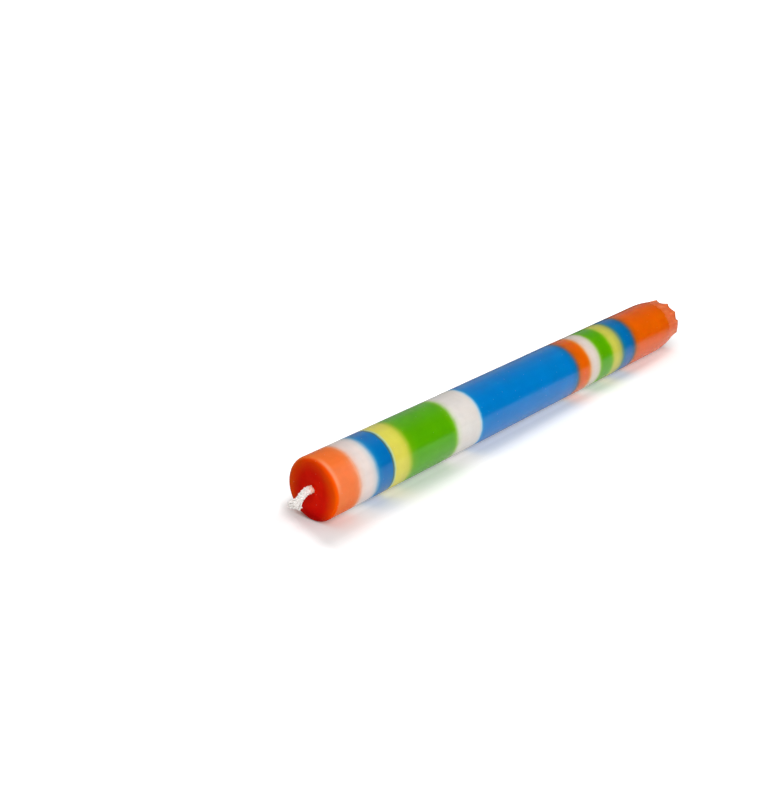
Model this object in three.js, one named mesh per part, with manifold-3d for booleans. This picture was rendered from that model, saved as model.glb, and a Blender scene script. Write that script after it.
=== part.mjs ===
// A taper candle lying on its side: thirteen through-coloured wax layers on one braided cotton wick.
// Millimetres, +Z up. The candle's axis runs along X, with the lit end at -X and the fluted base at +X.
import * as THREE from "three";
import { mergeVertices } from "three/addons/utils/BufferGeometryUtils.js";
import Module from "manifold-3d";

// The wax body, and the wax layers' thicknesses from the lit end on. The base layer takes what is left.
const BODY_LENGTH = 230;
const BODY_RADIUS = 11;
const BODY_SIDES = 48;
const ORANGE_TIP_THICKNESS = 11.5;
const WHITE_THICKNESS = 9;
const BLUE_THICKNESS = 8.5;
const YELLOW_THICKNESS = 9;
const WIDE_GREEN_THICKNESS = 26;
const WIDE_WHITE_THICKNESS = 15;
const LONG_BLUE_THICKNESS = 65.5;
const ORANGE_THICKNESS = 9.5;
const LATER_WHITE_THICKNESS = 7.5;
const LATER_GREEN_THICKNESS = 9.5;
const LATER_YELLOW_THICKNESS = 8.5;
const LATER_BLUE_THICKNESS = 10;
const LAYERS = [
  { name: "layer_01_orange_tip", wax: "orange", thickness: ORANGE_TIP_THICKNESS },
  { name: "layer_02_white", wax: "white", thickness: WHITE_THICKNESS },
  { name: "layer_03_blue", wax: "blue", thickness: BLUE_THICKNESS },
  { name: "layer_04_yellow", wax: "yellow", thickness: YELLOW_THICKNESS },
  { name: "layer_05_green_wide", wax: "green", thickness: WIDE_GREEN_THICKNESS },
  { name: "layer_06_white", wax: "white", thickness: WIDE_WHITE_THICKNESS },
  { name: "layer_07_blue_long", wax: "blue", thickness: LONG_BLUE_THICKNESS },
  { name: "layer_08_orange", wax: "orange", thickness: ORANGE_THICKNESS },
  { name: "layer_09_white", wax: "white", thickness: LATER_WHITE_THICKNESS },
  { name: "layer_10_green", wax: "green", thickness: LATER_GREEN_THICKNESS },
  { name: "layer_11_yellow", wax: "yellow", thickness: LATER_YELLOW_THICKNESS },
  { name: "layer_12_blue", wax: "blue", thickness: LATER_BLUE_THICKNESS },
];
const BASE_LAYER = { name: "layer_13_orange_base", wax: "orange" };
const WAX_COLOURS = {
  orange: "#e8591c",
  white: "#e9e2da",
  blue: "#0a6cc0",
  yellow: "#dcd54e",
  green: "#57ad0b",
};
const WAX_ROUGHNESS = 0.32;

// The rounded rim of the lit end
const RIM_RADIUS = 2;
const RIM_STEPS = 6;

// The tapered base end and the flutes that let it grip in a holder
const TAPER_LENGTH = 13;
const TAPER_END_RADIUS = 9.8;
const SHOULDER_BLEND = 3;
const SHOULDER_STEPS = 4;
const FLUTE_COUNT = 12;
const FLUTE_LENGTH = 8.5;
const FLUTE_ROOT_RADIUS = 8.5;
const ARRIS_END_RADIUS = 9.7;
const FIRST_ARRIS_DEGREES = 22;
const FLUTE_CUTTER_SIDES = 36;
const CUTTER_OVERRUN = 4;

// The wick
const WICK_HELD_RADIUS = 1.15;
const WICK_FREE_RADIUS = 1.3;
const WICK_CLEARANCE = 0.15;
const WICK_SIDES = 12;
const WICK_TAIL_RECESS = 0.5;
const STUB_STANDOFF = 0.3;
const STUB_ROOT_OVERLAP = 1;
const STUB_REACH = 7.5;
const STUB_DROOP = 2.8;
const STUB_STEPS = 14;
const YARN_COUNT = 6;
const YARN_RADIUS = 0.5;
const YARN_SIDES = 6;
const YARN_STEPS = 5;
const YARN_LENGTH = 3;
const YARN_SPLAY = 1;
const YARN_ROOT_RADIUS = 0.7;
const YARN_BEND_SHARE = 0.6;
const WICK_COLOUR = "#efe9e0";
const WICK_ROUGHNESS = 0.9;

const BORE_RADIUS = WICK_HELD_RADIUS + WICK_CLEARANCE;

const wasm = await Module();
wasm.setup();

// Each piece is made about the Y axis, whose +Y becomes +X once the candle is laid down.

function solidFrom(geometry) {
  const bare = geometry.clone();
  bare.deleteAttribute("normal");
  bare.deleteAttribute("uv");
  const merged = mergeVertices(bare);
  return new wasm.Manifold(
    new wasm.Mesh({
      numProp: 3,
      vertProperties: merged.getAttribute("position").array,
      triVerts: new Uint32Array(merged.index.array),
    }),
  );
}

function geometryFrom(solid) {
  const { vertProperties, triVerts } = solid.getMesh();
  const geometry = new THREE.BufferGeometry();
  geometry.setAttribute("position", new THREE.BufferAttribute(vertProperties, 3));
  geometry.setIndex(new THREE.BufferAttribute(triVerts, 1));
  geometry.computeVertexNormals();
  return geometry;
}

// Turns a closed outline of [radius, height] points round the axis. The radii reach to the flats between
// the corners, and one flat faces straight down, so that the candle lies on it.
function turned(outline) {
  const halfSide = Math.PI / BODY_SIDES;
  const points = outline.map(([radius, height]) => new THREE.Vector2(radius / Math.cos(halfSide), height));
  points.push(points[0].clone());
  return new THREE.LatheGeometry(points, BODY_SIDES, halfSide);
}

function plainLayer(thickness) {
  return turned([
    [BORE_RADIUS, 0],
    [BODY_RADIUS, 0],
    [BODY_RADIUS, thickness],
    [BORE_RADIUS, thickness],
  ]);
}

// The lit end is a flat face whose rim is rounded over by a quarter circle.
function tipLayer(thickness) {
  const rim = [];
  for (let step = 0; step <= RIM_STEPS; step++) {
    const angle = (step / RIM_STEPS) * (Math.PI / 2);
    rim.push([
      BODY_RADIUS - RIM_RADIUS + RIM_RADIUS * Math.sin(angle),
      RIM_RADIUS - RIM_RADIUS * Math.cos(angle),
    ]);
  }
  return turned([[BORE_RADIUS, 0], ...rim, [BODY_RADIUS, thickness], [BORE_RADIUS, thickness]]);
}

// The radius of the taper's straight cone, measured back from the base face.
function taperRadius(fromEnd) {
  return TAPER_END_RADIUS + (BODY_RADIUS - TAPER_END_RADIUS) * (fromEnd / TAPER_LENGTH);
}

// One round cutter for a flute. Its lowest line starts at the flute's root on the base face and climbs to
// the taper's surface at the flute's far end. Its radius makes neighbours meet in a sharp arris on the base
// face, at the arris radius.
function fluteCutter(baseHeight) {
  const halfPitch = Math.PI / FLUTE_COUNT;
  const reach = ARRIS_END_RADIUS * Math.cos(halfPitch);
  const radius =
    (FLUTE_ROOT_RADIUS ** 2 + ARRIS_END_RADIUS ** 2 - 2 * FLUTE_ROOT_RADIUS * reach) /
    (2 * (reach - FLUTE_ROOT_RADIUS));
  const climb = Math.atan((taperRadius(FLUTE_LENGTH) - FLUTE_ROOT_RADIUS) / FLUTE_LENGTH);
  const length = FLUTE_LENGTH + 2 * CUTTER_OVERRUN;
  const cutter = new THREE.CylinderGeometry(radius, radius, length, FLUTE_CUTTER_SIDES);
  // The lowest line is put on the origin, tilted, and then carried out to the root on the base face.
  cutter.translate(0, -FLUTE_LENGTH / 2, radius);
  cutter.rotateX(-climb);
  cutter.translate(0, baseHeight, FLUTE_ROOT_RADIUS);
  return cutter;
}

function baseLayer(thickness) {
  const shoulder = new THREE.QuadraticBezierCurve(
    new THREE.Vector2(BODY_RADIUS, thickness - TAPER_LENGTH - SHOULDER_BLEND),
    new THREE.Vector2(BODY_RADIUS, thickness - TAPER_LENGTH),
    new THREE.Vector2(taperRadius(TAPER_LENGTH - SHOULDER_BLEND), thickness - TAPER_LENGTH + SHOULDER_BLEND),
  );
  let solid = solidFrom(
    turned([
      [BORE_RADIUS, 0],
      [BODY_RADIUS, 0],
      ...shoulder.getPoints(SHOULDER_STEPS).map((point) => [point.x, point.y]),
      [TAPER_END_RADIUS, thickness],
      [BORE_RADIUS, thickness],
    ]),
  );
  const pitch = (2 * Math.PI) / FLUTE_COUNT;
  const firstFlute = THREE.MathUtils.degToRad(FIRST_ARRIS_DEGREES) + pitch / 2;
  for (let flute = 0; flute < FLUTE_COUNT; flute++) {
    const cutter = fluteCutter(thickness);
    cutter.rotateY(firstFlute + flute * pitch);
    solid = solid.subtract(solidFrom(cutter));
  }
  return geometryFrom(solid);
}

// A round cord of the given radius along a curve, closed at both ends.
function cordAlong(curve, radius, sides, steps) {
  const section = new THREE.Shape();
  for (let side = 0; side < sides; side++) {
    const angle = (side / sides) * 2 * Math.PI;
    const corner = [radius * Math.cos(angle), radius * Math.sin(angle)];
    if (side === 0) section.moveTo(...corner);
    else section.lineTo(...corner);
  }
  section.closePath();
  return new THREE.ExtrudeGeometry(section, { steps, bevelEnabled: false, extrudePath: curve });
}

// The wick runs the whole length of the bore. Its free end leaves the middle of the lit face, droops, and
// comes apart into the yarns that it is braided from.
function wick() {
  const heldLength = STUB_STANDOFF + STUB_ROOT_OVERLAP + BODY_LENGTH - WICK_TAIL_RECESS;
  const held = new THREE.CylinderGeometry(WICK_HELD_RADIUS, WICK_HELD_RADIUS, heldLength, WICK_SIDES);
  held.translate(0, heldLength / 2 - STUB_STANDOFF - STUB_ROOT_OVERLAP, 0);

  const droop = new THREE.QuadraticBezierCurve3(
    new THREE.Vector3(0, -STUB_STANDOFF, 0),
    new THREE.Vector3(0, -STUB_STANDOFF - STUB_REACH / 2, 0),
    new THREE.Vector3(0, -STUB_STANDOFF - STUB_REACH, -STUB_DROOP),
  );
  let solid = solidFrom(held).add(solidFrom(cordAlong(droop, WICK_FREE_RADIUS, WICK_SIDES, STUB_STEPS)));

  const tip = droop.getPoint(1);
  const outward = droop.getTangent(1);
  const sideways = new THREE.Vector3(1, 0, 0);
  const upward = new THREE.Vector3().crossVectors(sideways, outward);
  for (let yarn = 0; yarn < YARN_COUNT; yarn++) {
    const angle = ((yarn + 0.5) / YARN_COUNT) * 2 * Math.PI;
    const spread = sideways.clone().multiplyScalar(Math.cos(angle)).addScaledVector(upward, Math.sin(angle));
    const root = tip
      .clone()
      .addScaledVector(outward, -YARN_LENGTH / 2)
      .addScaledVector(spread, YARN_ROOT_RADIUS);
    const bend = root.clone().addScaledVector(outward, YARN_LENGTH * YARN_BEND_SHARE);
    const end = root.clone().addScaledVector(outward, YARN_LENGTH).addScaledVector(spread, YARN_SPLAY);
    const strand = new THREE.QuadraticBezierCurve3(root, bend, end);
    solid = solid.add(solidFrom(cordAlong(strand, YARN_RADIUS, YARN_SIDES, YARN_STEPS)));
  }
  return geometryFrom(solid);
}

function waxMaterial(wax) {
  return new THREE.MeshStandardMaterial({
    color: WAX_COLOURS[wax],
    roughness: WAX_ROUGHNESS,
    metalness: 0,
  });
}

function addLayer(group, name, wax, geometry, station) {
  const mesh = new THREE.Mesh(geometry, waxMaterial(wax));
  mesh.name = name;
  mesh.position.y = station;
  group.add(mesh);
}

// The candle stands on its lit end here, with the base up, until it is laid down below.
const upright = new THREE.Group();
let station = 0;
LAYERS.forEach(({ name, wax, thickness }, index) => {
  const geometry = index === 0 ? tipLayer(thickness) : plainLayer(thickness);
  addLayer(upright, name, wax, geometry, station);
  station += thickness;
});
addLayer(upright, BASE_LAYER.name, BASE_LAYER.wax, baseLayer(BODY_LENGTH - station), station);

const wickMesh = new THREE.Mesh(
  wick(),
  new THREE.MeshStandardMaterial({ color: WICK_COLOUR, roughness: WICK_ROUGHNESS, metalness: 0 }),
);
wickMesh.name = "wick";
upright.add(wickMesh);

// Laid on the flat under the body, with the origin on the ground below the middle of its length.
upright.rotation.z = -Math.PI / 2;
upright.position.z = BODY_RADIUS;
const candle = new THREE.Group();
candle.add(upright);
const bounds = new THREE.Box3().setFromObject(candle, true);
upright.position.x = -(bounds.min.x + bounds.max.x) / 2;

export default candle;
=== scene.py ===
import math
import random

import bpy
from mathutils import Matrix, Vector, noise


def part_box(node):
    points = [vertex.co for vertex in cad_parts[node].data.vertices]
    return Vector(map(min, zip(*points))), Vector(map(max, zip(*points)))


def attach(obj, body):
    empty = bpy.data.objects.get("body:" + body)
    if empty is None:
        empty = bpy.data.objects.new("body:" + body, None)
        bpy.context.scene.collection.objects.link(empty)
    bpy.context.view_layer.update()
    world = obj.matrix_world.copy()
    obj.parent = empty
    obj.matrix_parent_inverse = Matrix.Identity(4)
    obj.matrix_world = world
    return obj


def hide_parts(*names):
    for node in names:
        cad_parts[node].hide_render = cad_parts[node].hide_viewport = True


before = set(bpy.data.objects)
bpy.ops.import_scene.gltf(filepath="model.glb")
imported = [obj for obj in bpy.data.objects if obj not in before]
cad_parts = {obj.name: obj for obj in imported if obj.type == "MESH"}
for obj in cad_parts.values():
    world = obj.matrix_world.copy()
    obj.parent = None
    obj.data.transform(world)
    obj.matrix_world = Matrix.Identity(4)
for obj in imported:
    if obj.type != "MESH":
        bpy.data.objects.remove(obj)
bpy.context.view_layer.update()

MM = 0.001
BODY = "root"

# The wax layers in order, from the lit end on. A layer's third name part is its wax.
LAYERS = sorted(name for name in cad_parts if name.startswith("layer_"))
SPANS = {name: (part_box(name)[0].x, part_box(name)[1].x) for name in LAYERS}
WAX_OF = {name: name.split("_")[2] for name in LAYERS}
FACE_X = SPANS[LAYERS[0]][0]
BASE_X = SPANS[LAYERS[-1]][1]
PLAIN_LOW, PLAIN_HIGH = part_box(LAYERS[1])
BODY_RADIUS = (PLAIN_HIGH.y - PLAIN_LOW.y) / 2
AXIS_Z = (PLAIN_HIGH.z + PLAIN_LOW.z) / 2

# The skin: how finely it is modelled, and how far its hand-finished surface strays inwards. The ripple's
# noise is taken apart from the swell's, and each joint's from the next one's.
SIDES = 144
RING_STEP = 1.25 * MM
BORE_RADIUS = 1.3 * MM
SWELL_DEPTH = 0.10 * MM
SWELL_LENGTH = 26 * MM
RIPPLE_DEPTH = 0.018 * MM
RIPPLE_LENGTH = 7 * MM
RIPPLE_APART = Vector((7, 3, 5))
JOINT_WOBBLE = 0.14 * MM
JOINT_WOBBLE_REACH = 2.5 * MM
JOINT_WAVES = 1.5
JOINTS_APART = 400
JOINT_EDGE = 0.02 * MM
CREASE = 35

# The lit end
RIM_SMALL = 1.0 * MM
RIM_LARGE = 2.3 * MM
RIM_LARGE_AT = math.radians(50)
RIM_STEPS = 10
FACE_RINGS = 14
FACE_CROWDING = 1.6
FACE_TILT = 0.7 * MM
FACE_GRAIN = 0.08 * MM
FACE_GRAIN_LENGTH = 5 * MM
CRATER_DEPTH = 0.35 * MM
CRATER_WIDTH = 2.4 * MM
COLLAR_RISE = 0.45 * MM
COLLAR_WIDTH = 0.35 * MM

# The tapered and fluted base end
BASE_SIDES = 432
FLUTE_RING_STEP = 0.4 * MM
TAPER_LENGTH = 13 * MM
TAPER_END_RADIUS = 9.8 * MM
SHOULDER_SOFTNESS = 0.25 * MM
# The flutes were pressed in by hand. Each row: the angle in degrees and the radius in mm of the arris
# where a flute starts, how far it dips below the line to the next arris, in mm, and where it is deepest,
# as a share of the way to that arris.
FLUTES = (
    (79, 9.9, 1.35, 0.36),
    (113, 9.8, 1.00, 0.34),
    (142, 9.75, 0.90, 0.74),
    (166, 9.6, 0.25, 0.50),
    (199, 9.65, 0.75, 0.60),
    (221, 8.95, 0.80, 0.45),
    (250, 9.5, 0.90, 0.50),
    (281, 9.7, 1.10, 0.40),
    (312, 9.6, 0.90, 0.60),
    (343, 9.75, 1.00, 0.50),
    (375, 9.6, 0.90, 0.45),
    (407, 9.8, 1.10, 0.55),
)
FLUTE_LENGTH = 7.5 * MM
FLUTE_SOFTNESS = 0.25
ARRIS_SOFTNESS = 0.12 * MM
BASE_EDGE = 0.3 * MM
BASE_DISH = 0.25 * MM
BASE_FACE_SHARES = (0, 0.1, 0.25, 0.45, 0.7, 1)


def smaller(a, b, softness):
    """The smaller of two lengths, with the corner between them rounded off."""
    share = max(0.0, min(1.0, 0.5 + 0.5 * (b - a) / softness))
    return b + (a - b) * share - softness * share * (1 - share)


def on_axis(x, radius, angle):
    """The point at a radius and an angle from +Y towards +Z round the candle's axis."""
    return Vector((x, radius * math.cos(angle), AXIS_Z + radius * math.sin(angle)))


def unevenness(x, angle):
    """How far the hand-finished skin lies inside its true radius."""
    around = Vector((x, BODY_RADIUS * math.cos(angle), BODY_RADIUS * math.sin(angle)))
    swell = 0.5 + 0.5 * noise.noise(around / SWELL_LENGTH)
    ripple = 0.5 + 0.5 * noise.noise(around / RIPPLE_LENGTH + RIPPLE_APART)
    return SWELL_DEPTH * swell + RIPPLE_DEPTH * ripple


def joint_shift(joint, angle):
    """How far a joint between two layers strays along the axis at an angle."""
    if joint in (FACE_X, BASE_X):
        return 0.0
    around = Vector((joint * JOINTS_APART, JOINT_WAVES * math.cos(angle), JOINT_WAVES * math.sin(angle)))
    return JOINT_WOBBLE * noise.noise(around)


def wobbled(x, angle, low, high):
    """x, moved along with the nearer of the layer's two joints."""
    for joint in (low, high):
        near = 1 - abs(x - joint) / JOINT_WOBBLE_REACH
        if near > 0:
            return x + near * joint_shift(joint, angle)
    return x


def stations(low, high, step):
    """Places along the axis from low to high, both included, about a step apart."""
    count = max(2, round((high - low) / step))
    return [low + (high - low) * i / count for i in range(count + 1)]


def new_piece(name, vertices, faces, material, crease=CREASE):
    """A smooth-shaded mesh object with its edges kept sharp past the crease angle in degrees."""
    mesh = bpy.data.meshes.new(name)
    mesh.from_pydata([tuple(v) for v in vertices], [], faces)
    mesh.validate()
    mesh.shade_smooth()
    mesh.set_sharp_from_angle(angle=math.radians(crease))
    mesh.materials.append(material)
    piece = bpy.data.objects.new(name, mesh)
    bpy.context.scene.collection.objects.link(piece)
    return piece


def ring_faces(rings, sides, first=0, closed=False):
    """Quads between rings of points, the last ring joined to the first one where the run is closed."""
    faces = []
    for ring in range(rings if closed else rings - 1):
        a = first + ring * sides
        b = first + (ring + 1) % rings * sides
        for k in range(sides):
            m = (k + 1) % sides
            faces.append((a + m, a + k, b + k, b + m))
    return faces


def skin_ring(x, inset, low, high):
    """A ring of the plain round skin, drawn in by inset."""
    return lambda angle: on_axis(
        wobbled(x, angle, low, high), BODY_RADIUS - unevenness(x, angle) - inset, angle
    )


def bore_ring(x, low, high):
    return lambda angle: on_axis(wobbled(x, angle, low, high), BORE_RADIUS, angle)


def plain_skin(low, high):
    """Rings of a plain layer's skin, with both edges slightly rounded."""
    rings = [skin_ring(low, JOINT_EDGE, low, high)]
    rings += [skin_ring(x, 0, low, high) for x in stations(low + JOINT_EDGE, high - JOINT_EDGE, RING_STEP)]
    return rings + [skin_ring(high, JOINT_EDGE, low, high)]


def plain_outline(low, high):
    return plain_skin(low, high) + [bore_ring(high, low, high), bore_ring(low, low, high)]


def face_depth(radius, angle):
    """How deep the lit face lies at a point: tilted, sunk round the wick, with the wax drawn up it."""
    tilt = FACE_TILT * (0.5 + 0.5 * radius / BODY_RADIUS * math.cos(angle))
    crater = CRATER_DEPTH * math.exp(-((radius / CRATER_WIDTH) ** 2))
    collar = COLLAR_RISE * math.exp(-(((radius - BORE_RADIUS) / COLLAR_WIDTH) ** 2))
    across = Vector((radius * math.cos(angle), radius * math.sin(angle), 0))
    grain = FACE_GRAIN * noise.noise(across / FACE_GRAIN_LENGTH)
    return tilt + crater - collar + grain


def face_ring(share):
    """A ring of the lit face, at a share of the way from the bore out to the rounded rim."""

    def point(angle):
        radius = BORE_RADIUS + (BODY_RADIUS - rim_radius(angle) - BORE_RADIUS) * share
        return on_axis(FACE_X + face_depth(radius, angle), radius, angle)

    return point


def tip_side_ring(share, high):
    """A ring of the tip's side, at a share of the way from the rounded rim to the first joint."""

    def point(angle):
        x = FACE_X + rim_radius(angle)
        x += (high - JOINT_EDGE - x) * share
        return on_axis(wobbled(x, angle, FACE_X, high), BODY_RADIUS - unevenness(x, angle), angle)

    return point


def rim_radius(angle):
    """The rim is rounded over more on the side away from the camera than on the near side."""
    return RIM_SMALL + (RIM_LARGE - RIM_SMALL) * (0.5 + 0.5 * math.cos(angle - RIM_LARGE_AT))


def rim_ring(turn):
    """A ring of the rounded rim: turn runs from 0 on the face to 1 on the side."""
    bend = turn * math.pi / 2

    def point(angle):
        rim = rim_radius(angle)
        x = FACE_X + rim * (1 - math.cos(bend)) + face_depth(BODY_RADIUS - rim, angle) * (1 - turn)
        radius = BODY_RADIUS - rim * (1 - math.sin(bend)) - unevenness(FACE_X + RIM_LARGE, angle) * turn
        return on_axis(x, radius, angle)

    return point


def tip_outline(low, high):
    outline = [face_ring((i / FACE_RINGS) ** FACE_CROWDING) for i in range(FACE_RINGS)]
    outline += [rim_ring(step / RIM_STEPS) for step in range(RIM_STEPS)]
    side_rings = round((high - low) / RING_STEP)
    outline += [tip_side_ring(i / side_rings, high) for i in range(side_rings + 1)]
    return outline + [skin_ring(high, JOINT_EDGE, low, high), bore_ring(high, low, high)]


def taper_radius(from_end):
    cone = TAPER_END_RADIUS + (BODY_RADIUS - TAPER_END_RADIUS) * from_end / TAPER_LENGTH
    return smaller(BODY_RADIUS, cone, SHOULDER_SOFTNESS)


def fluted_edge(angle):
    """The radius of the fluted outline at the base face."""
    first = FLUTES[0][0]
    degrees = (math.degrees(angle) - first) % 360 + first
    number = max(i for i, flute in enumerate(FLUTES) if flute[0] <= degrees)
    start, radius, dip, low = FLUTES[number]
    end, next_radius = FLUTES[(number + 1) % len(FLUTES)][:2]
    across = (degrees - start) / ((end - start) % 360)
    lean = (low - across) / low if across < low else (across - low) / (1 - low)
    return (radius + (next_radius - radius) * across - dip * (1 - lean**2)) * MM


def flute_cut(from_end, angle):
    """How deep the flutes cut into the taper, less and less away from the base face."""
    cut = max(0.0, TAPER_END_RADIUS - smaller(TAPER_END_RADIUS, fluted_edge(angle), ARRIS_SOFTNESS))
    return cut * -smaller(0.0, from_end / FLUTE_LENGTH - 1, FLUTE_SOFTNESS)


def base_ring(x, inset):
    low, high = SPANS[LAYERS[-1]]
    from_end = BASE_X - x

    def point(angle):
        radius = taper_radius(from_end) - flute_cut(from_end, angle) - inset
        return on_axis(wobbled(x, angle, low, high), radius - unevenness(x, angle), angle)

    return point


def base_face_ring(share):
    """A ring of the base face, at a share of the way from the fluted edge in to the bore."""
    edge = base_ring(BASE_X, BASE_EDGE)

    def point(angle):
        rim = (edge(angle) - Vector((BASE_X, 0, AXIS_Z))).length
        radius = rim + (BORE_RADIUS - rim) * share
        return on_axis(BASE_X - BASE_DISH * math.sin(share * math.pi / 2), radius, angle)

    return point


def base_outline(low, high):
    taper_start = high - TAPER_LENGTH - RING_STEP
    outline = [base_ring(low, JOINT_EDGE)]
    outline += [base_ring(x, 0) for x in stations(low + JOINT_EDGE, taper_start, RING_STEP)]
    outline += [base_ring(x, 0) for x in stations(taper_start, high - BASE_EDGE, FLUTE_RING_STEP)[1:]]
    outline += [base_face_ring(share) for share in BASE_FACE_SHARES]
    return outline + [bore_ring(low, low, high)]


def layer_piece(name):
    """One wax layer. Its outline gives one ring after another, out along the skin and back in the bore."""
    low, high = SPANS[name]
    sides = SIDES
    if name == LAYERS[0]:
        outline = tip_outline(low, high)
    elif name == LAYERS[-1]:
        outline = base_outline(low, high)
        sides = BASE_SIDES
    else:
        outline = plain_outline(low, high)
    angles = [2 * math.pi * k / sides for k in range(sides)]
    vertices = [point(angle) for point in outline for angle in angles]
    faces = ring_faces(len(outline), sides, closed=True)
    return new_piece(name.replace("layer", "wax"), vertices, faces, wax_material(name))


# The wick: eight strands in a round braid, each of three yarns, which come apart at the free end.
STRAND_COUNT = 8
YARNS_PER_STRAND = 3
STRAND_RADIUS = 0.82 * MM
STRAND_WEAVE = 0.16 * MM
YARN_OFFSET = 0.22 * MM
YARN_RADIUS = 0.28 * MM
YARN_SIDES = 8
BRAID_TURN = 5.6 * MM
YARN_TWIST = 2.2 * MM
BRAID_STEP = 0.16 * MM
FRAY_STEPS = 10
FRAY_BEND = 0.45
FRAY_THINNING = 0.15
HELD_START = 1.5 * MM
WICK_ROUTE = (
    Vector((HELD_START, 0, 0)),
    Vector((0, 0.2 * MM, 0.15 * MM)),
    Vector((-1.9 * MM, 0.3 * MM, 0.25 * MM)),
    Vector((-4.3 * MM, 0.1 * MM, -0.45 * MM)),
    Vector((-6.1 * MM, 0, -1.6 * MM)),
)
# Where the frayed yarns end. Each row: the share of the yarns up to a place, and the place in mm from the
# middle of the lit face.
FAN = (
    (0.00, (-9.7, 1.0, -1.0)),
    (0.34, (-9.5, 1.1, -2.6)),
    (0.55, (-8.6, 0.4, -3.0)),
    (0.77, (-7.5, -0.2, -3.4)),
    (0.94, (-6.4, -0.6, -4.4)),
    (1.00, (-5.6, -1.6, -2.9)),
)
FAN_SCATTER = 0.18 * MM
FAN_CORE = Vector((-8.3 * MM, 0.3 * MM, -2.3 * MM))
TAIL_RECESS = 0.5 * MM
TAIL_LENGTH = 5 * MM
CORE_RADIUS = 1.1 * MM
CORE_SIDES = 24
CORE_STEP = 20 * MM
CORE_GAP = 1 * MM
FILLING_RADIUS = 0.62 * MM
FILLING_SIDES = 12
FILLING_STEP = 0.5 * MM
FILLING_SHARES = (0.02, 0.5, 0.98)
WICK_CREASE = 60
# The loose fibres. Their lengths and their curl are in mm.
FUZZ_COUNT = 90
FUZZ_RADIUS = 0.045 * MM
FUZZ_SIDES = 5
FUZZ_STEPS = 4
FUZZ_THINNING = 0.6
FUZZ_LENGTHS = (0.5, 1.3)
FUZZ_CURL = 0.35
FUZZ_SEED = 11


def smooth_route(points, step):
    """Points about a step apart on a smooth curve through the given ones, made of Catmull-Rom spans."""
    padded = [points[0] * 2 - points[1], *points, points[-1] * 2 - points[-2]]
    route = []
    for a, b, c, d in zip(padded, padded[1:], padded[2:], padded[3:]):
        count = max(1, round((c - b).length / step))
        for i in range(count):
            t = i / count
            square = (2 * a - 5 * b + 4 * c - d) * t**2
            cube = (3 * b - a - 3 * c + d) * t**3
            route.append(0.5 * (2 * b + (c - a) * t + square + cube))
    return [*route, points[-1].copy()]


def cross_frames(route):
    """For each point of a route, two directions square to it and to each other."""
    frames = []
    for i in range(len(route)):
        along = (route[min(i + 1, len(route) - 1)] - route[max(i - 1, 0)]).normalized()
        side = (Vector((0, 1, 0)) - along * along.y).normalized()
        frames.append((side, along.cross(side)))
    return frames


def tube(points, radius_at, sides):
    """Vertices and faces of a closed tube along points, whose radius depends on the share of its length."""
    vertices, faces = [], []
    side = None
    for i, point in enumerate(points):
        along = (points[min(i + 1, len(points) - 1)] - points[max(i - 1, 0)]).normalized()
        if side is None:
            side = along.orthogonal().normalized()
        side = (side - along * side.dot(along)).normalized()
        other = along.cross(side)
        radius = radius_at(i / (len(points) - 1))
        for k in range(sides):
            angle = 2 * math.pi * k / sides
            vertices.append(point + side * radius * math.cos(angle) + other * radius * math.sin(angle))
    faces = [tuple(reversed(face)) for face in ring_faces(len(points), sides)]
    last = (len(points) - 1) * sides
    faces.append(tuple(reversed(range(sides))))
    faces.append(tuple(last + k for k in range(sides)))
    return vertices, faces


def add_tube(vertices, faces, points, radius_at, sides):
    more, their_faces = tube(points, radius_at, sides)
    first = len(vertices)
    vertices += more
    faces += [tuple(first + v for v in face) for face in their_faces]


def yarn_route(route, frames, strand, yarn, step):
    """One yarn's way through a round braid: half of the strands turn each way, over one and under one."""
    way = 1 if strand % 2 else -1
    start = 2 * math.pi * (strand // 2) / (STRAND_COUNT // 2)
    points = []
    for i, (centre, (side, other)) in enumerate(zip(route, frames)):
        turn = 2 * math.pi * i * step / BRAID_TURN
        angle = start + way * turn
        radius = STRAND_RADIUS + way * STRAND_WEAVE * math.cos(STRAND_COUNT // 2 * turn)
        outward = side * math.cos(angle) + other * math.sin(angle)
        around = other * math.cos(angle) - side * math.sin(angle)
        ply = 2 * math.pi * (yarn / YARNS_PER_STRAND + i * step / YARN_TWIST)
        points.append(
            centre + outward * (radius + YARN_OFFSET * math.cos(ply)) + around * YARN_OFFSET * math.sin(ply)
        )
    return points


def fan_place(share):
    """A place on the line where the frayed yarns end."""
    number = max(i for i in range(len(FAN) - 1) if FAN[i][0] <= share)
    (low, start), (high, end) = FAN[number : number + 2]
    return Vector(start).lerp(Vector(end), (share - low) / (high - low)) * MM


def frayed(points, aim, rng):
    """The yarn with its loose end: it leaves the braid as it lay, and bends over towards its aim."""
    start = points[-1]
    onward = (points[-1] - points[-4]).normalized()
    aim = aim + Vector([rng.gauss(0, FAN_SCATTER) for _ in range(3)])
    bend = start + onward * (aim - start).length * FRAY_BEND
    loose = []
    for i in range(1, FRAY_STEPS + 1):
        t = i / FRAY_STEPS
        loose.append(start * (1 - t) ** 2 + bend * 2 * t * (1 - t) + aim * t**2)
    return points + loose


def fuzz_hair(start, rng):
    """The points of one loose fibre, which bows out by its curl in the middle."""
    drift = Vector([rng.gauss(0, 1) for _ in range(3)]).normalized() * rng.uniform(*FUZZ_LENGTHS) * MM
    curl = Vector([rng.gauss(0, 1) for _ in range(3)]).normalized() * FUZZ_CURL * MM
    shares = [i / FUZZ_STEPS for i in range(FUZZ_STEPS + 1)]
    return [start + drift * t + curl * t * (1 - t) * 4 for t in shares]


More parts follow.
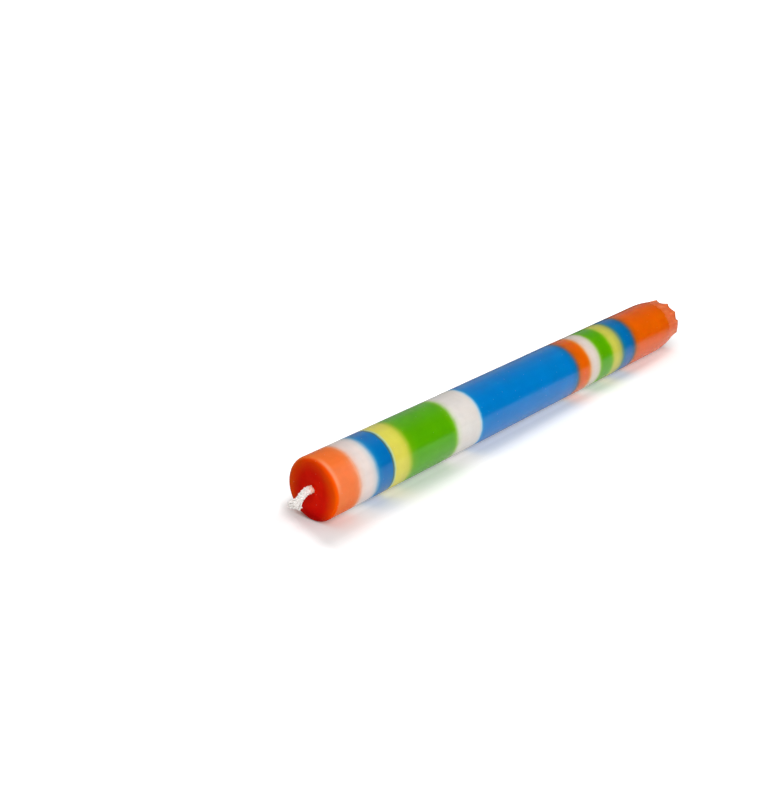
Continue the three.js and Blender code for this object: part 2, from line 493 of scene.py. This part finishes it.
def wick_stub(material):
    """The braided stub outside the lit face, with its frayed end."""
    rng = random.Random(FUZZ_SEED)
    origin = Vector((FACE_X, 0, AXIS_Z))
    route = smooth_route(WICK_ROUTE, BRAID_STEP)
    frames = cross_frames(route)
    yarns = [
        yarn_route(route, frames, strand, yarn, BRAID_STEP)
        for strand in range(STRAND_COUNT)
        for yarn in range(YARNS_PER_STRAND)
    ]
    # The yarns fan out in the order in which they lie across the end of the braid.
    across = fan_place(1) - fan_place(0)
    yarns.sort(key=lambda points: points[-1].dot(across))
    vertices, faces = [], []
    for place, points in enumerate(yarns):
        aim = fan_place((place + 0.5) / len(yarns))
        loose_from = len(points) / (len(points) + FRAY_STEPS)
        points = [origin + p for p in frayed(points, aim, rng)]
        add_tube(
            vertices,
            faces,
            points,
            lambda t: YARN_RADIUS * (1 - FRAY_THINNING * max(0, (t - loose_from) / (1 - loose_from))),
            YARN_SIDES,
        )
        for _ in range(FUZZ_COUNT // len(yarns)):
            hair = fuzz_hair(points[-1 - rng.randrange(FRAY_STEPS)], rng)
            add_tube(vertices, faces, hair, lambda t: FUZZ_RADIUS * (1 - FUZZ_THINNING * t), FUZZ_SIDES)
    return new_piece("wick_stub", vertices, faces, material, crease=WICK_CREASE)


def wick_tail(material):
    """The cut end of the braid, seen in the bore in the middle of the base face."""
    count = round(TAIL_LENGTH / BRAID_STEP)
    start = BASE_X - TAIL_RECESS - TAIL_LENGTH
    route = [Vector((start + TAIL_LENGTH * i / count, 0, AXIS_Z)) for i in range(count + 1)]
    frames = cross_frames(route)
    vertices, faces = [], []
    for strand in range(STRAND_COUNT):
        for yarn in range(YARNS_PER_STRAND):
            points = yarn_route(route, frames, strand, yarn, TAIL_LENGTH / count)
            add_tube(vertices, faces, points, lambda t: YARN_RADIUS, YARN_SIDES)
    return new_piece("wick_tail", vertices, faces, material, crease=WICK_CREASE)


def wick_core(material):
    """The long run of the wick that the wax holds, with the filling strand inside both braided ends."""
    origin = Vector((FACE_X, 0, AXIS_Z))
    stub = [origin + p for p in smooth_route([*WICK_ROUTE, FAN_CORE], FILLING_STEP)]
    held_low = FACE_X + HELD_START + CORE_GAP
    held_high = BASE_X - TAIL_RECESS - TAIL_LENGTH
    held = [Vector((x, 0, AXIS_Z)) for x in stations(held_low, held_high, CORE_STEP)]
    tail = [Vector((held_high + TAIL_LENGTH * t, 0, AXIS_Z)) for t in FILLING_SHARES]
    vertices, faces = [], []
    add_tube(vertices, faces, stub, lambda t: FILLING_RADIUS, FILLING_SIDES)
    add_tube(vertices, faces, held, lambda t: CORE_RADIUS, CORE_SIDES)
    add_tube(vertices, faces, tail, lambda t: FILLING_RADIUS, FILLING_SIDES)
    return new_piece("wick_core", vertices, faces, material, crease=WICK_CREASE)


# Materials. Colours are linear.
# Painted light: the lit end's orange is a lighter copy of the orange wax, for the extra light that falls on
# the near end. It is paler still on the side facing the lights.
TIP_LIT_ORANGE = (0.97, 0.185, 0.035)
TIP_PAINTED_LIGHT = (0.97, 0.22, 0.068)
WAX_COLOURS = {
    "orange": (0.86, 0.13, 0.0),
    "white": (0.83, 0.79, 0.74),
    "blue": (0.0, 0.22, 0.62),
    "yellow": (0.80, 0.74, 0.11),
    "green": (0.10, 0.44, 0.0),
}
# How far light scatters in each wax, in mm, for red, green and blue
WAX_DEPTHS = {
    "orange": (1.6, 0.5, 0.2),
    "white": (1.4, 1.2, 1.0),
    "blue": (0.2, 0.6, 1.2),
    "yellow": (1.4, 1.2, 0.4),
    "green": (0.5, 1.2, 0.2),
}
# Painted shade and tint by layer: red, green and blue shares of the wax's own colour, darker in narrow
# layers whose neighbours take light away, and tinted in white ones by light from their neighbours.
NEIGHBOUR_SHADES = {
    2: (1.07, 0.98, 0.98),
    3: (1.0, 0.83, 0.85),
    9: (1.0, 0.92, 0.90),
    11: (0.83, 0.87, 0.84),
    12: (1.0, 0.80, 0.81),
}
# Painted light: each neighbour's colour is run in across a joint for the light the waxes lend each other
# through it, crisply at some joints and softly at others. By joint: the run's reach and how far its middle
# lies off the joint, in mm, and the tint where the two colours meet.
UNTINTED = (1, 1, 1)
ORDINARY_BLEED = (1.5, 0, UNTINTED)
JOINT_BLEEDS = {
    3: (0.65, 0, UNTINTED),
    4: (2.0, 0, (1, 0.92, 0.9)),
    6: (0.95, 0, UNTINTED),
    7: (2.15, 0, (1.05, 0.72, 1)),
    8: (1.5, -0.4, UNTINTED),
    9: (1.5, -0.25, UNTINTED),
    11: (2.15, -0.1, (0.85, 0.75, 0.82)),
    12: (2.35, -0.3, (1.05, 0.74, 0.95)),
}
# A fainter run goes further: how many times as far, and its share of the colour
FAINT_REACH = 2.6
FAINT_SHARE = 0.4
# The colours are mixed at a power, which goes darker in between than lights do: the power they are mixed at
MIX_POWER = 1 / 2.2
# Makes the product of the two colours' shares 1 where they are equal
EVEN_SHARES = 4.0
# Lines of paler or darker wax that show beside a joint. Each row: the joint, the side of it (-1 is towards
# the lit end), the wax and the line's strength.
PALE_WAX = (0.86, 0.90, 0.84)
WARM_WAX = (0.86, 0.90, 0.60)
COOL_WAX = (0.72, 0.85, 0.97)
DARK_WAX = (0.02, 0.09, 0.15)
JOINT_LINES = (
    (3, 1, WARM_WAX, 0.4),
    (3, -1, DARK_WAX, 0.95),
    (6, -1, COOL_WAX, 0.5),
)
LINE_STARTS = 1.17 * MM
LINE_FULL = 0.52 * MM

# Every wax is mottled, clouded, faintly streaked along the candle and has sparse pale specks.
# A noise's values lie about its middle, and most of them inside one of these ranges.
NOISE_MIDDLE = 0.5
WIDE_RANGE = (0.3, 0.7)
NARROW_RANGE = (0.35, 0.65)
STREAK_RANGE = (0.35, 0.7)
FINE_DETAIL = 3.0
MOTTLE_SCALE = 90
MOTTLE_SHADE = (0.95, 0.93, 0.94)
CLOUD_SCALE = 330
CLOUD_SHADE = 0.02
CLOUD_DRIFT = 0.8 * MM
STREAK_SCALE = 800
STREAK_STRETCH = (0.05, 1, 1)
STREAK_SHADE = 0.01
SPECK_SCALE = 420
SPECK_SOLID = 0.04
SPECK_ENDS = 0.1
SPECK_STRENGTH = 0.12
SPECK_DENT = 0.8
GRAIN_SCALE = 2400
GRAIN_SHARE = 0.25
BUMP_STRENGTH = 0.35
BUMP_DEPTH = 0.02 * MM
WAX_ROUGHNESS = 0.17
ROUGHNESS_STRAY = 0.05
WAX_IOR = 1.41
# The light that glows inside the wax fades out towards the joints.
GLOW = 0.5
GLOW_GAP = 0.2 * MM
GLOW_FADE = 2.2 * MM

# The lit end, once melted. Its face's colours are painted light: red in the middle, where little light
# comes through the wax, a painted shade deeper at the foot, and a painted glow of orange where light comes
# in at the rim
FACE_RED = (0.80, 0.009, 0.0)
FACE_SHADE_DEEP = (0.80, 0.001, 0.0)
FACE_GLOW_ORANGE = (1.0, 0.125, 0.0)
RED_CENTRE = Vector((0, 0.2 * MM, AXIS_Z - 1.9 * MM))
RED_SQUEEZE = 0.73
RED_INSIDE = 5.2 * MM
RED_OUTSIDE = 12.8 * MM
DEEP_BELOW = 2 * MM
DEEP_ENDS = 7 * MM
FACE_NEAR_LIGHT = 1.07
FACE_AWAY_SHADE = 0.80
FOOT_SHADE = 0.55
FOOT_HEIGHT = 5 * MM
FLOW_SCALE = 260
FLOW_SHADE = (0.9, 0.5, 1.0)
FLOW_REACH = 2 * MM
SIDE_STARTS = 0.5 * MM
SIDE_FULL = 1.4 * MM
PAINTED_LIGHT_TOWARDS = (0, -0.97, 0.26)
PAINTED_LIGHT_STARTS = 0.68 * BODY_RADIUS
PAINTED_LIGHT_FULL = 0.92 * BODY_RADIUS
# A painted highlight along the rim, on the side that faces up and towards the lights.
RIM_HIGHLIGHT = (1.0, 0.34, 0.16)
RIM_HIGHLIGHT_TO = 3.0 * MM
RIM_HIGHLIGHT_TOWARDS = (0, -0.74, 0.67)
RIM_HIGHLIGHT_STARTS = 0.72 * BODY_RADIUS
RIM_HIGHLIGHT_FULL = 0.98 * BODY_RADIUS
RIM_HIGHLIGHT_STRENGTH = 0.9
TIP_SPECULAR = 0.03

# The pressed flutes: a painted sheen, paler there in streaks along the candle
FLUTE_SHEEN_LIGHT = (0.94, 0.24, 0.09)
FLUTE_SHEEN_DARK = (0.85, 0.15, 0.04)
FLUTE_ZONE_STARTS = 12.0 * MM
FLUTE_ZONE_FULL = 7.4 * MM
FLUTE_STREAK_STRETCH = (0.12, 1, 1)
FLUTE_STREAK_SCALE = 600
FLUTE_STREAK_RANGE = (0.38, 0.62)
FLUTE_ZONE_DRIFT = 1.5 * MM
FLUTE_ROUGHNESS = 0.2
# Darker towards the edge of the base face.
DARKER_END_EDGE = (0.50, 0.12, 0.05)
DARKER_EDGE_STARTS = 1.4 * MM
DARKER_EDGE_STRENGTH = 0.8
# The base face, with its scrape marks
END_WAX = (0.88, 0.24, 0.11)
END_STARTS = 0.7 * BASE_EDGE
END_FULL = 0.2 * BASE_EDGE
SCRAPE_SCALE = 900
SCRAPE_STRETCH = (1, 1, 0.2)
SCRAPE_SHADE = (0.94, 0.82, 0.8)

# The wick's cotton: white, stained by the wax where it comes out of the lit face
COTTON_GREY = (0.80, 0.76, 0.72)
COTTON_WHITE = (0.92, 0.90, 0.87)
COTTON_SCALE = 2500
COTTON_ROUGHNESS = (0.75, 0.95)
COTTON_IOR = 1.5
COTTON_SHEEN = 0.3
STAIN = (0.80, 0.30, 0.12)
STAIN_STRENGTH = 0.55
STAIN_STARTS = 2.2 * MM
STAIN_FULL = 0.2 * MM


class Nodes:
    """A short way to add and join nodes."""

    def __init__(self, tree):
        self.tree = tree

    def add(self, kind, **inputs):
        node = self.tree.nodes.new(kind)
        for key, value in inputs.items():
            self.put(node, key.replace("_", " "), value)
        return node

    def put(self, node, socket, value):
        target = node.inputs[socket]
        if isinstance(value, bpy.types.NodeSocket):
            self.tree.links.new(value, target)
        else:
            target.default_value = value

    def math(self, operation, *values):
        node = self.tree.nodes.new("ShaderNodeMath")
        node.operation = operation
        for i, value in enumerate(values):
            self.put(node, i, value)
        return node.outputs[0]

    def sum(self, first, *others):
        for value in others:
            first = self.math("ADD", first, value)
        return first

    def product(self, first, *others):
        for value in others:
            first = self.math("MULTIPLY", first, value)
        return first

    def stray(self, place, noise, reach):
        """A place moved to and fro by a noise, by half the reach each way."""
        return self.sum(place, self.product(self.math("SUBTRACT", noise, NOISE_MIDDLE), reach))

    def mix(self, factor, a, b, blend="MIX"):
        node = self.tree.nodes.new("ShaderNodeMix")
        node.data_type = "RGBA"
        node.blend_type = blend
        self.put(node, 0, factor)
        for socket, value in ((6, a), (7, b)):
            if isinstance(value, tuple):
                value = (*value[:3], 1)
            self.put(node, socket, value)
        return node.outputs[2]

    def tint(self, colour, shares, strength=1.0):
        """A colour with its red, green and blue multiplied by their shares."""
        return self.mix(strength, colour, shares, blend="MULTIPLY")

    def power(self, colour, power):
        return self.add("ShaderNodeGamma", Color=colour, Gamma=power).outputs[0]

    def grey(self, value):
        return self.add("ShaderNodeCombineColor", Red=value, Green=value, Blue=value).outputs[0]

    def ramp(self, value, low, high, to_low=0.0, to_high=1.0, smooth=True):
        node = self.tree.nodes.new("ShaderNodeMapRange")
        node.interpolation_type = "SMOOTHSTEP" if smooth else "LINEAR"
        for i, number in enumerate((value, low, high, to_low, to_high)):
            self.put(node, i, number)
        return node.outputs[0]

    def vector(self, operation, a, b):
        node = self.tree.nodes.new("ShaderNodeVectorMath")
        node.operation = operation
        self.put(node, 0, a)
        self.put(node, 1, b)
        return node.outputs["Value" if operation in ("DISTANCE", "DOT_PRODUCT") else "Vector"]

    def noise(self, place, scale, detail=2.0):
        return self.add("ShaderNodeTexNoise", Vector=place, Scale=scale, Detail=detail).outputs["Fac"]

    def place(self):
        """Where a point lies in its own piece."""
        return self.add("ShaderNodeTexCoord").outputs["Object"]

    def split(self, place):
        node = self.add("ShaderNodeSeparateXYZ", Vector=place)
        return node.outputs["X"], node.outputs["Y"], node.outputs["Z"]


def new_material(name):
    material = bpy.data.materials.new(name)
    material.use_nodes = True
    tree = material.node_tree
    tree.nodes.clear()
    nodes = Nodes(tree)
    shader = tree.nodes.new("ShaderNodeBsdfPrincipled")
    output = tree.nodes.new("ShaderNodeOutputMaterial")
    tree.links.new(shader.outputs[0], output.inputs[0])
    return material, nodes, shader


def times(colour, factors):
    return tuple(c * f for c, f in zip(colour, factors))


def wax_colour(name):
    """The colour of one layer's wax, with its painted light: the lit end's lighter orange and the shade and
    tint by layer.
    """
    number = LAYERS.index(name) + 1
    # The lit end gets its lighter, painted-light copy of the orange.
    if number == 1:
        return TIP_LIT_ORANGE
    return times(WAX_COLOURS[WAX_OF[name]], NEIGHBOUR_SHADES.get(number, UNTINTED))


def face_colours(nodes, place):
    """The wax of the lit face, where it once ran, with painted light: a glow of orange round the rim, and
    painted shade deeper at the foot and on the side away from the lights.
    """
    _, y, height = nodes.split(place)
    flow = nodes.noise(place, FLOW_SCALE)
    red = nodes.mix(nodes.ramp(flow, *NARROW_RANGE), FACE_RED, times(FACE_RED, FLOW_SHADE))
    # Painted shade: a deeper red towards the foot.
    red = nodes.mix(nodes.ramp(height, DEEP_BELOW, DEEP_ENDS), FACE_SHADE_DEEP, red)
    flat = nodes.vector("MULTIPLY", nodes.vector("SUBTRACT", place, RED_CENTRE), (0, 1, RED_SQUEEZE))
    reach = nodes.stray(nodes.vector("DISTANCE", flat, (0, 0, 0)), flow, FLOW_REACH)
    # A painted glow: orange where light comes in round the rim.
    face = nodes.mix(nodes.ramp(reach, RED_INSIDE, RED_OUTSIDE), red, FACE_GLOW_ORANGE)
    # Painted light and shade: lighter on the near side, darker on the side away and at the foot.
    near = nodes.ramp(y, -BODY_RADIUS, BODY_RADIUS, FACE_NEAR_LIGHT, FACE_AWAY_SHADE, smooth=False)
    foot = nodes.ramp(height, 0.0, FOOT_HEIGHT, FOOT_SHADE, 1.0)
    return nodes.tint(face, nodes.grey(nodes.product(near, foot)))


def tip_colours(nodes, place, x, colour):
    """The lit end's painted light: the face's reds and oranges, a paler patch on the side facing the lights
    and a highlight along the rim, laid over the plain colour of its side.
    """
    around = nodes.vector("SUBTRACT", place, (0, 0, AXIS_Z))
    # A painted paler patch, where the side faces the lights.
    lit_side = nodes.vector("DOT_PRODUCT", around, PAINTED_LIGHT_TOWARDS)
    colour = nodes.mix(nodes.ramp(lit_side, PAINTED_LIGHT_STARTS, PAINTED_LIGHT_FULL), colour, TIP_PAINTED_LIGHT)
    # A painted highlight along the rim.
    facing = nodes.vector("DOT_PRODUCT", around, RIM_HIGHLIGHT_TOWARDS)
    strength = nodes.ramp(facing, RIM_HIGHLIGHT_STARTS, RIM_HIGHLIGHT_FULL, 0.0, RIM_HIGHLIGHT_STRENGTH)
    near_rim = nodes.ramp(x, FACE_X + SIDE_FULL, FACE_X + RIM_HIGHLIGHT_TO, 1.0, 0.0)
    side = nodes.mix(nodes.product(near_rim, strength), colour, RIM_HIGHLIGHT)
    on_side = nodes.ramp(x, FACE_X + SIDE_STARTS, FACE_X + SIDE_FULL)
    return nodes.mix(on_side, face_colours(nodes, place), side)


def flute_sheen_and_end(nodes, place, x, colour):
    """The painted sheen on the pressed flutes, paler in streaks, laid over the plain colour, and where the
    flutes are.
    """
    streaks = nodes.noise(nodes.vector("MULTIPLY", place, FLUTE_STREAK_STRETCH), FLUTE_STREAK_SCALE, FINE_DETAIL)
    # A painted sheen: paler wax in streaks on the flutes.
    flute_sheen = nodes.mix(nodes.ramp(streaks, *FLUTE_STREAK_RANGE), FLUTE_SHEEN_DARK, FLUTE_SHEEN_LIGHT)
    where = nodes.stray(x, streaks, FLUTE_ZONE_DRIFT)
    on_flutes = nodes.ramp(where, BASE_X - FLUTE_ZONE_STARTS, BASE_X - FLUTE_ZONE_FULL)
    colour = nodes.mix(on_flutes, colour, flute_sheen)
    # Darker towards the edge of the base face.
    edge = nodes.ramp(x, BASE_X - DARKER_EDGE_STARTS, BASE_X - BASE_EDGE, 0.0, DARKER_EDGE_STRENGTH)
    colour = nodes.mix(edge, colour, DARKER_END_EDGE)
    scrapes = nodes.noise(nodes.vector("MULTIPLY", place, SCRAPE_STRETCH), SCRAPE_SCALE, FINE_DETAIL)
    end_wax = nodes.mix(nodes.ramp(scrapes, *NARROW_RANGE), END_WAX, times(END_WAX, SCRAPE_SHADE))
    at_end = nodes.ramp(x, BASE_X - END_STARTS, BASE_X - END_FULL)
    return nodes.mix(at_end, colour, end_wax), on_flutes


def joint_colours(nodes, name, x, colour):
    """The neighbours' colours, run in across the joints as painted light that the waxes lend each other."""
    index = LAYERS.index(name)
    low, high = SPANS[name]
    sides = []
    if index > 0:
        sides.append((index, low, -1, LAYERS[index - 1]))
    if index < len(LAYERS) - 1:
        sides.append((index + 1, high, 1, LAYERS[index + 1]))
    for joint, at, way, neighbour in sides:
        for lined_joint, side, wax, strength in JOINT_LINES:
            if lined_joint == joint and side == -way:
                line = nodes.ramp(x, at - way * LINE_STARTS, at - way * LINE_FULL, 0.0, strength)
                colour = nodes.mix(line, colour, wax)
        # Painted light: the neighbour's colour, run in across the joint.
        reach, shift, tint = JOINT_BLEEDS.get(joint, ORDINARY_BLEED)
        middle = at + shift * MM
        reach = way * reach * MM
        run = nodes.ramp(x, middle - reach, middle + reach, 0.0, 1 - FAINT_SHARE)
        reach = reach * FAINT_REACH
        faint = nodes.ramp(x, middle - reach, middle + reach, 0.0, FAINT_SHARE)
        run = nodes.sum(run, faint)
        powered = nodes.power(colour, MIX_POWER)
        mixed = nodes.mix(run, powered, tuple(c**MIX_POWER for c in wax_colour(neighbour)))
        colour = nodes.power(mixed, 1 / MIX_POWER)
        both = nodes.product(run, nodes.math("SUBTRACT", 1.0, run))
        colour = nodes.tint(colour, tint, nodes.product(both, EVEN_SHARES))
    return colour


def joint_distance_fade(nodes, name, x):
    """0 at the layer's joints, 1 well away from them: how much of the inner glow the wax keeps."""
    index = LAYERS.index(name)
    low, high = SPANS[name]
    fades = []
    if index > 0:
        fades.append(nodes.ramp(x, low + GLOW_GAP, low + GLOW_FADE))
    if index < len(LAYERS) - 1:
        fades.append(nodes.ramp(x, high - GLOW_FADE, high - GLOW_GAP, 1.0, 0.0))
    return nodes.product(*fades)


def wax_material(name):
    """One layer's wax: glossy, a little translucent, and uneven in colour, sheen and height."""
    material, nodes, shader = new_material("wax_" + name)
    own = wax_colour(name)
    place = nodes.place()
    x = nodes.split(place)[0]
    mottle = nodes.noise(place, MOTTLE_SCALE, FINE_DETAIL)
    cloud = nodes.noise(place, CLOUD_SCALE, FINE_DETAIL)
    grain = nodes.noise(place, GRAIN_SCALE)
    streaks = nodes.noise(nodes.vector("MULTIPLY", place, STREAK_STRETCH), STREAK_SCALE)
    speck = nodes.add("ShaderNodeTexVoronoi", Vector=place, Scale=SPECK_SCALE).outputs["Distance"]
    speck = nodes.ramp(speck, SPECK_SOLID, SPECK_ENDS, 1.0, 0.0)

    colour = nodes.mix(nodes.ramp(mottle, *WIDE_RANGE), own, times(own, MOTTLE_SHADE))
    rough = nodes.sum(
        nodes.ramp(mottle, *WIDE_RANGE, 0.0, ROUGHNESS_STRAY),
        nodes.ramp(streaks, *STREAK_RANGE, 0.0, ROUGHNESS_STRAY),
        WAX_ROUGHNESS,
    )
    if name == LAYERS[0]:
        colour = tip_colours(nodes, place, x, colour)
        shader.inputs["Specular IOR Level"].default_value = TIP_SPECULAR
    if name == LAYERS[-1]:
        colour, on_flutes = flute_sheen_and_end(nodes, place, x, colour)
        rough = nodes.sum(rough, nodes.product(on_flutes, FLUTE_ROUGHNESS))
    colour = joint_colours(nodes, name, nodes.stray(x, cloud, CLOUD_DRIFT), colour)
    clouded = nodes.ramp(cloud, *WIDE_RANGE, -CLOUD_SHADE, CLOUD_SHADE)
    streaked = nodes.ramp(streaks, *WIDE_RANGE, 1 - STREAK_SHADE, 1 + STREAK_SHADE)
    colour = nodes.tint(colour, nodes.grey(nodes.sum(clouded, streaked)))
    colour = nodes.mix(nodes.product(speck, SPECK_STRENGTH), colour, PALE_WAX)
    nodes.put(shader, "Base Color", colour)
    nodes.put(shader, "Roughness", rough)
    shader.inputs["IOR"].default_value = WAX_IOR

    depths = WAX_DEPTHS[WAX_OF[name]]
    shader.inputs["Subsurface Radius"].default_value = tuple(depth * MM for depth in depths)
    shader.inputs["Subsurface Scale"].default_value = 1.0
    nodes.put(shader, "Subsurface Weight", nodes.product(joint_distance_fade(nodes, name, x), GLOW))

    height = nodes.sum(nodes.product(grain, GRAIN_SHARE), streaks)
    height = nodes.math("SUBTRACT", height, nodes.product(speck, SPECK_DENT))
    bump = nodes.add("ShaderNodeBump", Strength=BUMP_STRENGTH, Distance=BUMP_DEPTH, Height=height)
    nodes.put(shader, "Normal", bump.outputs[0])
    return material


def cotton_material():
    material, nodes, shader = new_material("wick_cotton")
    place = nodes.place()
    x = nodes.split(place)[0]
    fibre = nodes.noise(place, COTTON_SCALE, FINE_DETAIL)
    colour = nodes.mix(nodes.ramp(fibre, *NARROW_RANGE), COTTON_GREY, COTTON_WHITE)
    stain = nodes.ramp(x, FACE_X - STAIN_STARTS, FACE_X - STAIN_FULL, 0.0, STAIN_STRENGTH)
    nodes.put(shader, "Base Color", nodes.mix(stain, colour, STAIN))
    nodes.put(shader, "Roughness", nodes.ramp(fibre, *WIDE_RANGE, *COTTON_ROUGHNESS))
    shader.inputs["IOR"].default_value = COTTON_IOR
    shader.inputs["Sheen Weight"].default_value = COTTON_SHEEN
    return material


# The floor is a sheet of white paper.
FLOOR_HALF = 12.0
FLOOR_WHITE = (0.89, 0.89, 0.89)
FLOOR_DARK = (0.03, 0.03, 0.03)
FLOOR_ROUGHNESS = 0.8
# Past the base end the floor's own colour is made dark, a sheet that only paints a darker reflection in
# the sheen on the wax: to the camera the floor stays white.
DARK_SHEET_STARTS = 118 * MM
DARK_SHEET_FULL = 205 * MM
# A painted glow, seen by the camera only, which paints the shape of the candle's shadow: how much brighter
# than its own light the floor shows, little in the candle's shade, more out in the open. The places are
# distances from the candle's axis.
SHADE_GLOW = 0.03
OPEN_GLOW = 0.30
OPEN_NEAR = 10 * MM
OPEN_FAR = 19 * MM
BEHIND_GLOW = 0.25
# Close in, on the near side, lies a painted, slightly brighter strip. It fades out with the distance from
# the axis and, along the candle, with the distance from the strip's own middle.
CONTACT_GLOW = 0.19
CONTACT_NEAR = 4.5 * MM
CONTACT_FAR = 9 * MM
CONTACT_MIDDLE = 5 * MM
CONTACT_EDGE = 2 * MM
END_NEAR = 103 * MM
END_FAR = 117 * MM
# Past the base end, or a bit before it, the distance also grows by a share of the way along the candle.
PAST_END = 12 * MM
PAST_SHARE = 0.4
# Past the lit face the shade fades out along a slanted line: where it starts to and has, at the axis
LIT_NEAR = 2 * MM
LIT_FAR = 8.5 * MM
LIT_SLANT = 0.37
# The shade is wide at the lit end and narrows towards the base, most of all in the last stretch.
TIP_WIDER = -2.3 * MM
BASE_NARROWER = 2.7 * MM
LAST_NARROWER = 3.5 * MM
LAST_STARTS = 84 * MM


def floor_material():
    """White paper, overexposed to white away from the candle by a painted glow, seen by the camera only,
    which also paints the shape of the candle's shadow. The glow lights nothing.
    """
    material, nodes, shader = new_material("pale_floor")
    x, y, _ = nodes.split(nodes.place())
    # A dark sheet past the base end, for a painted darker reflection on the wax.
    dark = nodes.ramp(x, DARK_SHEET_STARTS, DARK_SHEET_FULL)
    nodes.put(shader, "Base Color", nodes.mix(dark, FLOOR_WHITE, FLOOR_DARK))
    shader.inputs["Roughness"].default_value = FLOOR_ROUGHNESS
    shader.inputs["Specular IOR Level"].default_value = 0.0
    shader.inputs["Emission Color"].default_value = (1, 1, 1, 1)

    past_end = nodes.math("MAXIMUM", nodes.math("SUBTRACT", x, BASE_X - PAST_END), 0.0)
    away = nodes.add("ShaderNodeCombineXYZ", X=nodes.product(past_end, PAST_SHARE), Y=y).outputs[0]
    distance = nodes.vector("DISTANCE", away, (0, 0, 0))
    narrower = nodes.sum(
        nodes.ramp(x, FACE_X, LAST_STARTS, TIP_WIDER, BASE_NARROWER, smooth=False),
        nodes.ramp(x, LAST_STARTS, BASE_X, 0.0, LAST_NARROWER),
    )
    shade = nodes.ramp(nodes.sum(distance, narrower), OPEN_NEAR, OPEN_FAR, SHADE_GLOW, OPEN_GLOW)
    past_face = nodes.sum(nodes.math("SUBTRACT", FACE_X, x), nodes.product(y, LIT_SLANT))
    lit = nodes.ramp(past_face, LIT_NEAR, LIT_FAR, 0.0, OPEN_GLOW)
    along = nodes.math("ABSOLUTE", nodes.math("SUBTRACT", x, CONTACT_MIDDLE))
    contact = nodes.product(
        nodes.ramp(distance, CONTACT_NEAR, CONTACT_FAR, CONTACT_GLOW, 0.0),
        nodes.ramp(along, END_NEAR, END_FAR, 1.0, 0.0),
        nodes.ramp(y, -CONTACT_EDGE, CONTACT_EDGE, 1.0, 0.0),
    )
    behind = nodes.ramp(y, OPEN_NEAR, OPEN_FAR, 0.0, BEHIND_GLOW)
    glow = nodes.sum(shade, lit, contact, behind, dark)
    seen = nodes.add("ShaderNodeLightPath").outputs["Is Camera Ray"]
    nodes.put(shader, "Emission Strength", nodes.product(glow, seen))
    return material


def add_floor():
    corners = [(-1, -1), (1, -1), (1, 1), (-1, 1)]
    vertices = [Vector((x * FLOOR_HALF, y * FLOOR_HALF, 0)) for x, y in corners]
    floor = new_piece("floor", vertices, [(0, 1, 2, 3)], floor_material())


# The studio's light: soft lobes round the sky. Each row: name, azimuth and elevation in degrees, strength.
LOBES = (
    ("overhead", 0, 90, 2.25),
    ("key_left", 230, 38, 3.46),
    ("key_right", 255, 38, 3.82),
    ("back_low", 45, 12, 0.53),
    ("back_high", 45, 62, 1.05),
)
LOBE_SHARPNESS = 14


def towards(azimuth, elevation):
    """The direction at an azimuth from +X towards +Y and an elevation, in degrees."""
    flat = math.cos(math.radians(elevation))
    turn = math.radians(azimuth)
    return Vector((flat * math.cos(turn), flat * math.sin(turn), math.sin(math.radians(elevation))))


def add_world():
    world = bpy.data.worlds.new("studio")
    bpy.context.scene.world = world
    world.use_nodes = True
    tree = world.node_tree
    tree.nodes.clear()
    nodes = Nodes(tree)
    way = nodes.add("ShaderNodeTexCoord").outputs["Generated"]
    total = None
    for name, azimuth, elevation, strength in LOBES:
        nearness = nodes.vector("DOT_PRODUCT", way, towards(azimuth, elevation))
        spread = nodes.product(nodes.math("SUBTRACT", nearness, 1.0), LOBE_SHARPNESS)
        glow = nodes.product(nodes.math("EXPONENT", spread), strength)
        glow.node.label = name
        total = glow if total is None else nodes.sum(total, glow)
    light = nodes.add("ShaderNodeBackground", Strength=total)
    backdrop = nodes.add("ShaderNodeBackground", Color=(1, 1, 1, 1), Strength=1.0)
    path = nodes.add("ShaderNodeLightPath")
    shown = nodes.add("ShaderNodeMixShader")
    nodes.put(shown, 0, path.outputs["Is Camera Ray"])
    nodes.put(shown, 1, light.outputs[0])
    nodes.put(shown, 2, backdrop.outputs[0])
    output = nodes.add("ShaderNodeOutputWorld")
    nodes.put(output, 0, shown.outputs[0])


# The camera stands where the photograph was taken from.
CAMERA_PLACE = Vector((-394.490 * MM, -261.339 * MM, 189.149 * MM))
CAMERA_YAW = math.radians(39.13)
CAMERA_PITCH = math.radians(-21.109)
FOCAL_PIXELS = 1330.37
IMAGE_LONG_SIDE = 809
SENSOR_MM = 36
CLIP_NEAR = 0.01
CLIP_FAR = 100


def add_camera():
    data = bpy.data.cameras.new("camera")
    data.sensor_width = SENSOR_MM
    data.lens = FOCAL_PIXELS * SENSOR_MM / IMAGE_LONG_SIDE
    data.clip_start = CLIP_NEAR
    data.clip_end = CLIP_FAR
    camera = bpy.data.objects.new("camera", data)
    bpy.context.scene.collection.objects.link(camera)
    camera.location = CAMERA_PLACE
    camera.rotation_euler = (math.pi / 2 + CAMERA_PITCH, 0, CAMERA_YAW - math.pi / 2)
    bpy.context.scene.camera = camera


def settle(piece, node):
    """The piece rides on the candle and stands for its CAD node."""
    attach(piece, BODY)
    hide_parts(node)


def main():
    bpy.context.scene.view_settings.view_transform = "Standard"
    add_camera()
    add_world()
    add_floor()
    for name in LAYERS:
        settle(layer_piece(name), name)
    cotton = cotton_material()
    for piece in (wick_stub(cotton), wick_core(cotton), wick_tail(cotton)):
        settle(piece, "wick")


main()
